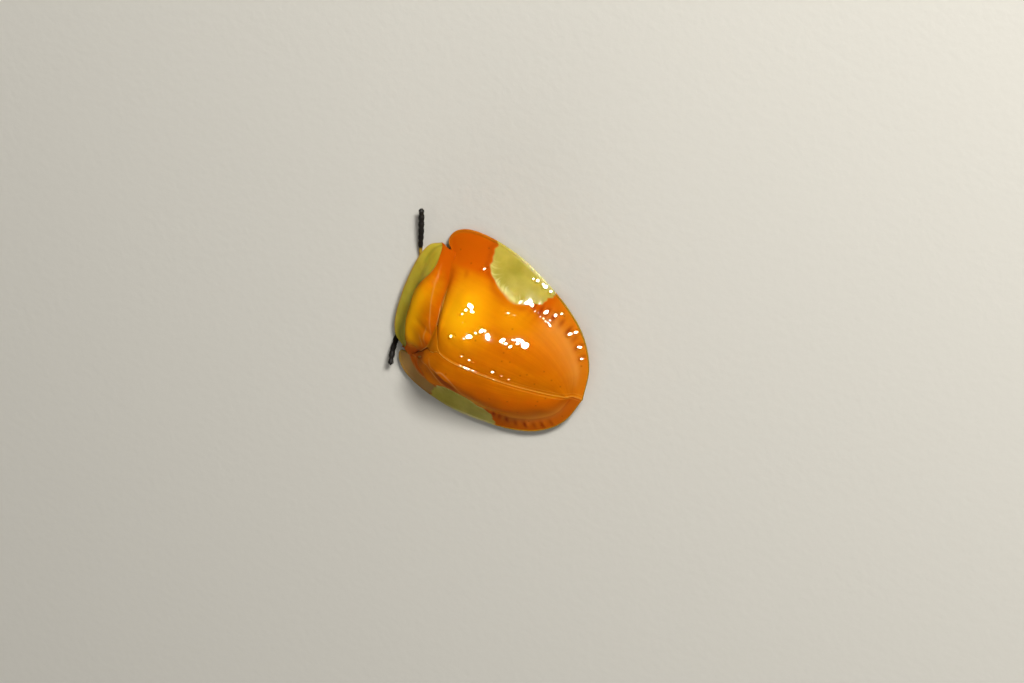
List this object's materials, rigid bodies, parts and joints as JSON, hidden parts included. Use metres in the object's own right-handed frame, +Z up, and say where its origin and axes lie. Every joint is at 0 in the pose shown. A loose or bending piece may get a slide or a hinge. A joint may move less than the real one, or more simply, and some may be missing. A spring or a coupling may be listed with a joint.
{
  "type": "tortoise beetle, life-size still model",
  "caption": "Round-shielded tortoise beetle with a domed back, broad clear margins, hidden head, feelers held sideways and legs drawn in.",
  "frame": {"origin": "on the floor, under the middle of the whole animal's box, feelers included", "axes": "+Z up; the beetle looks along -Y and its own left side is at +X; +Y runs from its head to its tail end"},
  "size_m": [0.0118, 0.0138, 0.0049],
  "materials": {
    "shell_orange": "wet-looking clear amber shell with fine pits",
    "shell_amber": "wet-looking clear shell, yellow-green at its edge",
    "skin_yellow": "satin horn-yellow skin of the underside and legs",
    "feeler_dark": "velvety black-brown beads, yellow at the base",
    "eye_black": "glossy black facets"
  },
  "bodies": {
    "root": {"elytron_left": "shell_orange", "elytron_right": "shell_orange", "scutellum": "shell_orange", "pronotum": "shell_amber", "head": "skin_yellow", "eye_left": "eye_black", "eye_right": "eye_black", "antenna_left": "feeler_dark", "antenna_right": "feeler_dark", "prothorax": "skin_yellow", "thorax": "skin_yellow", "abdomen": "skin_yellow", "leg_front_left": "skin_yellow", "leg_front_right": "skin_yellow", "leg_middle_left": "skin_yellow", "leg_middle_right": "skin_yellow", "leg_hind_left": "skin_yellow", "leg_hind_right": "skin_yellow"}
  },
  "joints": []
}
